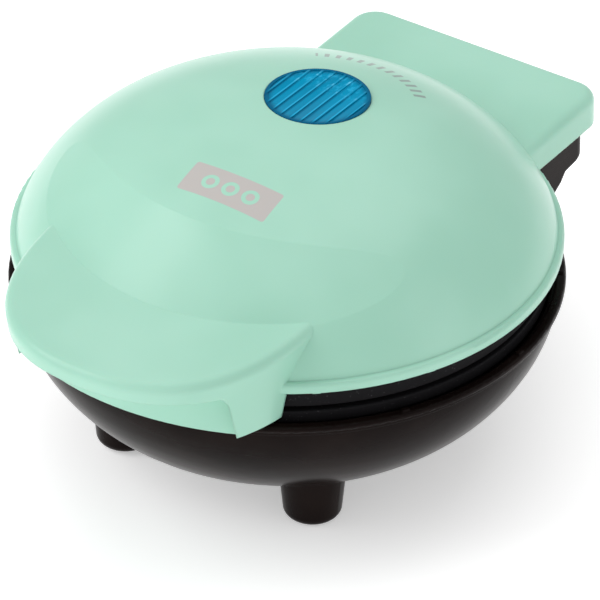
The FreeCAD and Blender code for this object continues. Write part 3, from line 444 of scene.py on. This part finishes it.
@dataclass(frozen=True)
class NonStick:
    """Dark coat on cast aluminium, with fine bright flecks."""

    name: str = "non_stick"
    colour: Colour = linear(27, 26, 28)
    fleck: Colour = linear(104, 101, 104)
    fleck_mm: float = 0.55
    rough: float = 0.44
    shine: float = 0.04
    grain_mm: float = 0.35
    dimple_mm: float = 1.6
    depth_mm: float = 0.04
    edge_mm: float = 0.4

    def make(self) -> Any:
        """Build the material."""
        sheet = Sheet(self.name)
        pick = sheet.noise(0.8, 2.0, 0.7)
        flecks = sheet.cells(self.fleck_mm).step(0.28, 0.12) * pick.step(0.58, 0.66)
        tint = sheet.blend(flecks, self.colour, self.fleck)
        rough = self.rough + 0.12 * sheet.noise(14.0) - 0.16 * flecks
        height = sheet.noise(self.grain_mm, 3.0, 0.7) + 0.5 * sheet.noise(self.dimple_mm)
        normal = sheet.bump(height, self.depth_mm, 0.7, sheet.soft_edges(self.edge_mm))
        return sheet.finish(Base_Color=tint, Roughness=rough, Metallic=0.5 * flecks, Normal=normal,
                            Specular_IOR_Level=self.shine)


@dataclass(frozen=True)
class Metal:
    """Plain worked metal, brushed or rolled along one way."""

    name: str
    colour: Colour
    dull: Colour
    rough: float = 0.3
    worked: Grain = Grain.ROLLED_ALONG_X
    grain_mm: float = 0.5
    stain_mm: float = 9.0
    depth_mm: float = 0.02

    def make(self) -> Any:
        """Build the material."""
        sheet = Sheet(self.name)
        grain = sheet.noise(self.grain_mm, 4.0, 0.6, self.worked.value)
        stain = sheet.noise(self.stain_mm, 3.0, 0.55)
        tint = sheet.blend(stain.step(0.35, 0.75), self.colour, self.dull)
        rough = self.rough + 0.16 * grain + 0.1 * stain
        normal = sheet.bump(grain, self.depth_mm, 0.5)
        return sheet.finish(Base_Color=tint, Roughness=rough, Metallic=1.0, Normal=normal)


@dataclass(frozen=True)
class Moulding:
    """Matt or satin non-metal: rubber, nylon, ceramic, braid or wire sleeve."""

    name: str
    colour: Colour
    shade: Colour
    rough: float = 0.6
    grain_mm: float = 0.4
    depth_mm: float = 0.03
    shine: float = 0.4
    patch_mm: float = 6.0

    def make(self) -> Any:
        """Build the material."""
        sheet = Sheet(self.name)
        patch = sheet.noise(self.patch_mm, 3.0, 0.55)
        grain = sheet.noise(self.grain_mm, 3.0, 0.6)
        tint = sheet.blend((0.7 * patch + 0.3 * grain).step(0.35, 0.7), self.colour, self.shade)
        rough = self.rough + 0.12 * (grain - 0.5)
        normal = sheet.bump(grain, self.depth_mm, 0.7)
        return sheet.finish(Base_Color=tint, Roughness=rough, Normal=normal, Specular_IOR_Level=self.shine)


@dataclass(frozen=True)
class LensPlastic:
    """Clear blue plastic, with painted highlights along its ridges, painted shade next to them and at its
    rim, and painted glints towards the hinge side.
    """

    name: str = "blue_lens"
    # deep is painted shade, used at the rim, next to the ridges and where the noise runs low; middle is the
    # plastic's own blue.
    deep: Colour = linear(0, 72, 108)
    middle: Colour = linear(0, 150, 192)
    # bright is a painted highlight, along the ridges and in glints towards the hinge side.
    bright: Colour = linear(42, 178, 222)
    # Palest colour: a painted glint on the ridges towards the hinge side.
    painted_glint: Colour = linear(128, 214, 240)
    pitch_mm: float = 3.5
    centre_y_mm: float = 16.6
    radius_mm: float = 16.2
    beside_turn: float = 0.55
    wobble_mm: float = 5.0
    mottle_mm: float = 1.7
    rough: float = 0.10
    shine: float = 0.04

    def make(self) -> Any:
        """Build the material."""
        sheet = Sheet(self.name)
        x, y, _ = sheet.place()
        from_y = y - self.centre_y_mm
        wobble = sheet.noise(self.wobble_mm, 2.0, 0.5, (0.8, 0.25, 1.0)) - 0.5
        turn = (x + 0.5 * wobble) * (math.pi / self.pitch_mm)
        # Painted highlight mask: 1 along the tops of the ridges.
        ridge_highlight = turn.wave().size().step(0.34, 0.06)
        # Painted shade mask: a dark band next to one side of each of the ridges.
        painted_shade_by_ridge = (turn - self.beside_turn).wave().size().step(0.55, 0.20)
        away = (x * x + from_y * from_y).root() / self.radius_mm
        # Painted shade mask: 1 at the rim, where the lens is painted darker.
        edge = away.step(0.80, 0.99)
        inner = 1 - edge
        rear = from_y.step(1.0, 9.0)
        # Mottled noise: the mask of the painted glints, and a small change of roughness.
        glint_mottle = sheet.noise(self.mottle_mm, 3.0, 0.6, (1.0, 0.45, 1.0)).step(0.48, 0.64)
        # Painted light level: random tone, lowered by painted shade at the rim and next to the ridges; it
        # mixes the painted shade colour into the own blue.
        glow = (0.52 + 0.45 * wobble) * (1 - 0.75 * edge) * (1 - 0.45 * painted_shade_by_ridge * (1 - 0.7 * rear))
        tint = sheet.blend(glow.at_most(1.0).at_least(0.0) * 1.5, self.deep, self.middle)
        # Paints a highlight along the ridges, weaker towards the hinge side.
        tint = sheet.blend(ridge_highlight * inner * (0.85 - 0.5 * rear), tint, self.bright)
        # Paints bright glints in mottled patches towards the hinge side.
        tint = sheet.blend(glint_mottle * rear * inner * 0.6, tint, self.bright)
        # Paints the palest glints where the mottled noise, the hinge side and the ridges meet.
        tint = sheet.blend(glint_mottle * glint_mottle * rear * ridge_highlight * inner * 0.7, tint, self.painted_glint)
        return sheet.finish(Base_Color=tint, Roughness=self.rough + 0.08 * glint_mottle, IOR=1.49,
                            Specular_IOR_Level=self.shine)


@dataclass(frozen=True)
class FloorPaint:
    """Plain pale floor."""

    name: str = "pale_floor"
    colour: Colour = linear(253, 253, 253)
    rough: float = 0.6
    glow: float = 0.42

    def make(self) -> Any:
        """Build the material."""
        return Sheet(self.name).finish(Base_Color=self.colour, Roughness=self.rough,
                                       Emission_Color=self.colour, Emission_Strength=self.glow)


# ---------------------------------------------------------------- studio
@dataclass(frozen=True)
class SoftLight:
    """Rectangular light that faces the object, in metres and watts."""

    name: str
    place: Triple
    sides: tuple[float, float]
    watts: float

    def build(self, aim: Vector) -> None:
        """Add the light.

        Args:
            aim: the point that it faces.
        """
        lamp = bpy.data.lights.new(self.name, "AREA")
        lamp.shape = "RECTANGLE"
        lamp.size, lamp.size_y = self.sides
        lamp.energy = self.watts
        holder = bpy.data.objects.new(self.name, lamp)
        holder.location = self.place
        holder.rotation_mode = "QUATERNION"
        holder.rotation_quaternion = (aim - Vector(self.place)).to_track_quat("-Z", "Y")
        bpy.context.scene.collection.objects.link(holder)


@dataclass
class Studio:
    """Floor, soft lights and camera, in metres and degrees."""

    azimuth: float = 33.93
    elevation: float = 34.21
    distance: float = 2.884
    shift_right: float = 0.00391
    shift_up: float = 0.00328
    aim_z: float = 0.040
    lens_mm: float = 566.3
    floor_half: float = 6.0
    sensor_mm: float = 36.0
    near: float = 0.1
    far: float = 50.0
    world_strength: float = 0.60
    light_aim: Triple = (0.0, 0.0, 0.06)
    lights: tuple[SoftLight, ...] = (
        SoftLight("overhead", (-0.1, 0.3, 1.3), (1.4, 1.4), 5.6),
        SoftLight("key_left", (-0.95, -0.85, 1.05), (0.9, 1.1), 9.0),
        SoftLight("fill_front", (0.6, -1.3, 0.7), (0.9, 0.6), 0.5),
        SoftLight("strip_right", (1.25, 0.05, 0.30), (0.22, 0.5), 0.35))

    def build(self) -> None:
        """Make everything in the studio."""
        self._floor()
        self._world()
        for light in self.lights:
            light.build(Vector(self.light_aim))
        self._camera()
        bpy.context.scene.view_settings.view_transform = "Standard"

    def _floor(self) -> None:
        """Wide plain floor."""
        deselect()
        bpy.ops.mesh.primitive_plane_add(size=2 * self.floor_half, location=(0, 0, 0))
        floor = bpy.context.object
        floor.name = "floor"
        floor.data.materials.append(FloorPaint().make())

    def _world(self) -> None:
        """Even white surroundings."""
        world = bpy.data.worlds.new("surroundings")
        bpy.context.scene.world = world
        world.use_nodes = True
        sky = world.node_tree.nodes["Background"]
        sky.inputs["Color"].default_value = (1.0, 1.0, 1.0, 1.0)
        sky.inputs["Strength"].default_value = self.world_strength

    def _camera(self) -> None:
        """Long-lens camera, level, looking down on the object from its front right."""
        around = math.radians(self.azimuth)
        tip = math.radians(self.elevation)
        right = Vector((math.cos(around), math.sin(around), 0))
        level = math.cos(tip)
        back = Vector((math.sin(around) * level, -math.cos(around) * level, math.sin(tip)))
        up = back.cross(right)
        aim = right * self.shift_right + up * self.shift_up + Vector((0, 0, self.aim_z))
        data = bpy.data.cameras.new("camera")
        data.lens = self.lens_mm
        data.sensor_width = self.sensor_mm
        data.clip_start = self.near
        data.clip_end = self.far
        camera = bpy.data.objects.new("camera", data)
        camera.matrix_world = Matrix((right, up, back)).transposed().to_4x4()
        camera.location = aim + back * self.distance
        bpy.context.scene.collection.objects.link(camera)
        bpy.context.scene.camera = camera


# ---------------------------------------------------------------- modelling by hand
FLAT = 0.9      # least upright part of a level face's normal
CENTRED = 0.1   # farthest that the middle face's centre is from the axis, in millimetres


def deselect() -> None:
    """Leave nothing selected."""
    bpy.ops.object.select_all(action="DESELECT")


class Workpiece:
    """One mesh on the bench, shaped by operators, with sizes given in millimetres."""

    def __init__(self, name: str, sides: int, radius: float, low_z: float, high_z: float) -> None:
        """Start from an upright cylinder on the Z axis.

        Args:
            name: the piece's name.
            sides: how many sides the cylinder has.
            radius: its radius.
            low_z: its underside.
            high_z: its top.
        """
        deselect()
        middle = (0, 0, (low_z + high_z) / 2 * MM)
        bpy.ops.mesh.primitive_cylinder_add(
            vertices=sides, radius=radius * MM, depth=(high_z - low_z) * MM, location=middle)
        self.piece = bpy.context.object
        self.piece.name = name
        self.piece.data.name = name
        bpy.ops.object.transform_apply(location=True, rotation=True, scale=True)

    def pick(self, wanted: Callable[[Vector, Vector], bool]) -> None:
        """Select, in edit mode, the faces that pass a test, and no others.

        Args:
            wanted: takes a face's middle in millimetres and its normal.
        """
        if bpy.context.mode != "EDIT_MESH":
            bpy.ops.object.mode_set(mode="EDIT")
        bpy.ops.mesh.select_mode(type="FACE")
        bpy.ops.mesh.select_all(action="DESELECT")
        mesh = bmesh.from_edit_mesh(self.piece.data)
        mesh.normal_update()
        for face in [face for face in mesh.faces if wanted(face.calc_center_median() / MM, face.normal)]:
            face.select_set(True)
        bmesh.update_edit_mesh(self.piece.data)

    def cut(self, place: Triple, normal: Triple) -> None:
        """Split every face that a plane crosses.

        Args:
            place: a point of the plane.
            normal: the plane's normal.
        """
        self.pick(lambda middle, facing: True)
        bpy.ops.mesh.bisect(plane_co=tuple(part * MM for part in place), plane_no=normal)

    @staticmethod
    def push(rise: float) -> None:
        """Extrude the selected faces upwards by rise, or downwards if it is negative."""
        bpy.ops.mesh.extrude_region_move(TRANSFORM_OT_translate={"value": (0, 0, rise * MM)})

    @staticmethod
    def inset(width: float) -> None:
        """Inset the selected faces together."""
        bpy.ops.mesh.inset(thickness=width * MM, depth=0, use_boundary=True)

    def round_edges(self, width: float, rings: int, sharp: float = 40.0) -> None:
        """Bevel every edge that is sharper than an angle, and smooth the shading.

        Args:
            width: the bevel's width.
            rings: how many segments it has.
            sharp: the least angle, in degrees.
        """
        if bpy.context.mode == "EDIT_MESH":
            bpy.ops.object.mode_set(mode="OBJECT")
        bevel = self.piece.modifiers.new("rounding", "BEVEL")
        bevel.width = width * MM
        bevel.segments = rings
        bevel.limit_method = "ANGLE"
        bevel.angle_limit = math.radians(sharp)
        bpy.ops.object.modifier_apply(modifier=bevel.name)
        bpy.ops.object.shade_smooth_by_angle(angle=math.radians(sharp))

    def settle(self, place: Triple, tilt: float = 0.0) -> None:
        """Tip the piece about X, move it to its place and leave its object at the origin.

        Args:
            place: where the piece's own zero goes.
            tilt: the angle about X, in degrees.
        """
        self.piece.rotation_euler = (math.radians(tilt), 0, 0)
        self.piece.location = tuple(part * MM for part in place)
        bpy.ops.object.transform_apply(location=True, rotation=True, scale=True)

    def copy(self, name: str, by: Triple) -> Any:
        """Copy the piece, with a mesh of its own, and move the copy.

        Args:
            name: the copy's name.
            by: how far it moves.

        Returns:
            The copy.
        """
        deselect()
        self.piece.select_set(True)
        bpy.context.view_layer.objects.active = self.piece
        bpy.ops.object.duplicate(linked=False)
        other = bpy.context.object
        other.name = name
        other.data.name = name
        other.location = tuple(part * MM for part in by)
        bpy.ops.object.transform_apply(location=True, rotation=True, scale=True)
        return other


# ---------------------------------------------------------------- sub-assemblies
@dataclass
class PaintShop:
    """Makes each finish once and puts it on pieces."""

    made: dict[str, Any] = field(default_factory=dict)

    def paint(self, piece: Any, finish: Finish) -> None:
        """Give a piece its finish.

        Args:
            piece: a carried-over node's object or a new one.
            finish: what it is painted with.
        """
        if finish.name not in self.made:
            self.made[finish.name] = finish.make()
        piece.data.materials.clear()
        piece.data.materials.append(self.made[finish.name])
        LOG.info("%s: %d faces, %s", piece.name, len(piece.data.polygons), finish.name)

    def paint_nodes(self, table: dict[str, Finish]) -> None:
        """Give each carried-over node in a table its finish.

        Args:
            table: the finish of each node, by the node's name.
        """
        for node, finish in table.items():
            self.paint(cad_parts[node], finish)


STEEL = Metal("screw_steel", linear(176, 176, 180), linear(132, 132, 136), 0.26)
HEATER = Metal("heater_steel", linear(120, 112, 106), linear(84, 74, 68), 0.42, Grain.CAST)
SHEET_METAL = Metal("shield_metal", linear(196, 197, 199), linear(168, 168, 170), 0.3, Grain.ROLLED_ALONG_Y)
BRASS = Metal("brass", linear(205, 172, 102), linear(168, 132, 72), 0.25)
RUBBER = Moulding("rubber", linear(22, 21, 21), linear(31, 30, 30), 0.78, 0.5, 0.04, 0.2)
NYLON = Moulding("white_nylon", linear(232, 230, 222), linear(214, 211, 200), 0.45, 0.8, 0.01)
CERAMIC = Moulding("ceramic", linear(226, 220, 206), linear(200, 192, 176), 0.7, 0.25, 0.03)
PHENOLIC = Moulding("black_phenolic", linear(36, 32, 31), linear(50, 45, 43), 0.5, 0.6, 0.02)
BRAID = Moulding("glass_braid", linear(224, 218, 202), linear(190, 183, 165), 0.85, 0.3, 0.06)
LAMP_GLASS = Moulding("lamp_glass", linear(236, 160, 90), linear(210, 120, 60), 0.15, 1.2, 0.005)


@dataclass
class IndicatorLens:
    """Round window on top of the lid, fluted on top and ribbed below, in millimetres and degrees."""

    radius: float = 16.2
    thickness: float = 2.4
    centre: Triple = (0.0, 16.6, 109.25)
    tilt: float = -2.0
    rim: float = 1.1
    rim_margin: float = 0.9
    pitch: float = 3.5
    ridge_width: float = 0.9
    valley_depth: float = 0.28
    rib_height: float = 1.1
    rib_count: int = 9
    edge_round: float = 0.10
    edge_rings: int = 2
    sides: int = 120

    def build(self, shop: PaintShop) -> None:
        """Model the lens and dress it.

        Args:
            shop: where its finish is made.
        """
        work = Workpiece("lens_window", self.sides, self.radius, -self.thickness, 0.0)
        work.pick(lambda middle, facing: abs(facing.z) > FLAT)
        bpy.ops.mesh.inset(thickness=self.rim * MM, depth=0, use_individual=True)
        half = self.ridge_width / 2
        for number in range(self.rib_count):
            x = (number - (self.rib_count - 1) / 2) * self.pitch
            work.cut((x - half, 0, 0), (1, 0, 0))
            work.cut((x + half, 0, 0), (1, 0, 0))
        work.pick(lambda middle, facing: facing.z > FLAT and self._inside(middle)
                  and not self._on_ridge(middle.x))
        work.push(-self.valley_depth)
        work.pick(lambda middle, facing: facing.z < -FLAT and self._inside(middle)
                  and self._on_ridge(middle.x))
        work.push(-self.rib_height)
        work.round_edges(self.edge_round, self.edge_rings)
        work.settle(self.centre, self.tilt)
        shop.paint(work.piece, LensPlastic())
        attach(work.piece, "lid")
        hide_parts("indicator_lens")

    def _inside(self, middle: Vector) -> bool:
        """Whether a face lies inside the rim."""
        return math.hypot(middle.x, middle.y) < self.radius - self.rim_margin * self.rim

    def _on_ridge(self, x: float) -> bool:
        """Whether a face lies on one of the ridges."""
        nearest = round(x / self.pitch) * self.pitch
        return abs(x - nearest) < self.ridge_width / 2


@dataclass
class Lid:
    """Domed lid with its handle, the lens and what holds it."""

    lens: IndicatorLens = field(default_factory=IndicatorLens)

    def build(self, shop: PaintShop) -> None:
        """Dress the carried-over nodes and build the lens.

        Args:
            shop: where their finishes are made.
        """
        shop.paint_nodes({"lid_shell": LidPlastic(), "lens_retainer": NYLON, "lamp_holder": NYLON,
                          "indicator_lamp": LAMP_GLASS})
        self.lens.build(shop)


@dataclass
class FootPads:
    """Four round rubber pads under the feet, each with a ring-shaped groove below, in millimetres."""

    radius: float = 5.0
    height: float = 2.0
    spread_x: float = 34.5
    spread_y: float = 37.5
    rim: float = 1.3
    groove: float = 0.9
    groove_depth: float = 0.4
    edge_round: float = 0.22
    edge_rings: int = 3
    sides: int = 64

    def build(self, shop: PaintShop) -> None:
        """Model one pad, copy it to the other three feet and dress them.

        Args:
            shop: where their finish is made.
        """
        work = Workpiece("foot_pad_1", self.sides, self.radius, 0.0, self.height)
        self._inset_middle(work, self.rim)
        self._inset_middle(work, self.groove)
        outer = self.radius - self.rim
        work.pick(lambda middle, facing: facing.z < -FLAT
                  and outer - self.groove < math.hypot(middle.x, middle.y) < outer)
        work.push(self.groove_depth)
        self._inset_middle(work, self.groove)
        work.round_edges(self.edge_round, self.edge_rings)
        work.settle((self.spread_x, self.spread_y, 0.0))
        pads = [work.piece]
        for turn_x, turn_y in ((-2, 0), (-2, -2), (0, -2)):
            name = "foot_pad_%d" % (len(pads) + 1)
            pads.append(work.copy(name, (turn_x * self.spread_x, turn_y * self.spread_y, 0.0)))
        for pad in pads:
            shop.paint(pad, RUBBER)
            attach(pad, "base")
            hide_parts("foot_pads")

    @staticmethod
    def _inset_middle(work: Workpiece, width: float) -> None:
        """Inset the middle face of the underside.

        Args:
            work: the pad.
            width: how far it is inset.
        """
        work.pick(lambda middle, facing: facing.z < -FLAT and math.hypot(middle.x, middle.y) < CENTRED)
        work.inset(width)


@dataclass
class Base:
    """Round bowl with its feet, tower and cord gland."""

    pads: FootPads = field(default_factory=FootPads)

    def build(self, shop: PaintShop) -> None:
        """Dress the carried-over nodes and build the pads.

        Args:
            shop: where their finishes are made.
        """
        shop.paint_nodes({"base_shell": BowlPlastic(), "cord_gland": RUBBER})
        self.pads.build(shop)


@dataclass
class CookingPlates:
    """Two cast plates with their screws."""

    def build(self, shop: PaintShop) -> None:
        """Dress the carried-over nodes.

        Args:
            shop: where their finishes are made.
        """
        shop.paint_nodes({
            "upper_cooking_plate": NonStick(), "lower_cooking_plate": NonStick("non_stick_lower"),
            "upper_plate_screws": STEEL, "lower_plate_screws": STEEL})


@dataclass
class Heaters:
    """Elements, their beads and shields, and what guards their heat."""

    def build(self, shop: PaintShop) -> None:
        """Dress the carried-over nodes.

        Args:
            shop: where their finishes are made.
        """
        for side in ("upper", "lower"):
            shop.paint_nodes({side + "_heating_element": HEATER, side + "_heat_shield": SHEET_METAL,
                              side + "_element_beads": CERAMIC})
        shop.paint_nodes({"thermostat": PHENOLIC, "thermostat_clip": SHEET_METAL, "thermal_fuse": STEEL,
                          "fuse_sleeve": BRAID})


@dataclass
class HingeParts:
    """Rod, its end clips and its bushes."""

    def build(self, shop: PaintShop) -> None:
        """Dress the carried-over nodes.

        Args:
            shop: where their finishes are made.
        """
        shop.paint_nodes({"hinge_rod": STEEL, "rod_clips": STEEL, "hinge_bushes": BRASS})


@dataclass
class Wiring:
    """Terminal block, its screws and the three inner wires."""

    def build(self, shop: PaintShop) -> None:
        """Dress the carried-over nodes.

        Args:
            shop: where their finishes are made.
        """
        shop.paint_nodes({
            "terminal_block": NYLON, "terminal_screws": BRASS,
            "live_wire": Moulding("wire_brown", linear(104, 62, 40), linear(88, 50, 32), 0.5),
            "neutral_wire": Moulding("wire_blue", linear(52, 92, 168), linear(40, 76, 144), 0.5),
            "earth_wire": Moulding("wire_green", linear(116, 160, 60), linear(180, 180, 50), 0.5)})


def main() -> None:
    """Build the studio and the object, in order."""
    logging.basicConfig(level=logging.INFO, format="%(name)s: %(message)s")
    Studio().build()
    shop = PaintShop()
    for assembly in (Lid(), Base(), CookingPlates(), Heaters(), HingeParts(), Wiring()):
        assembly.build(shop)


if __name__ == "__main__":
    main()
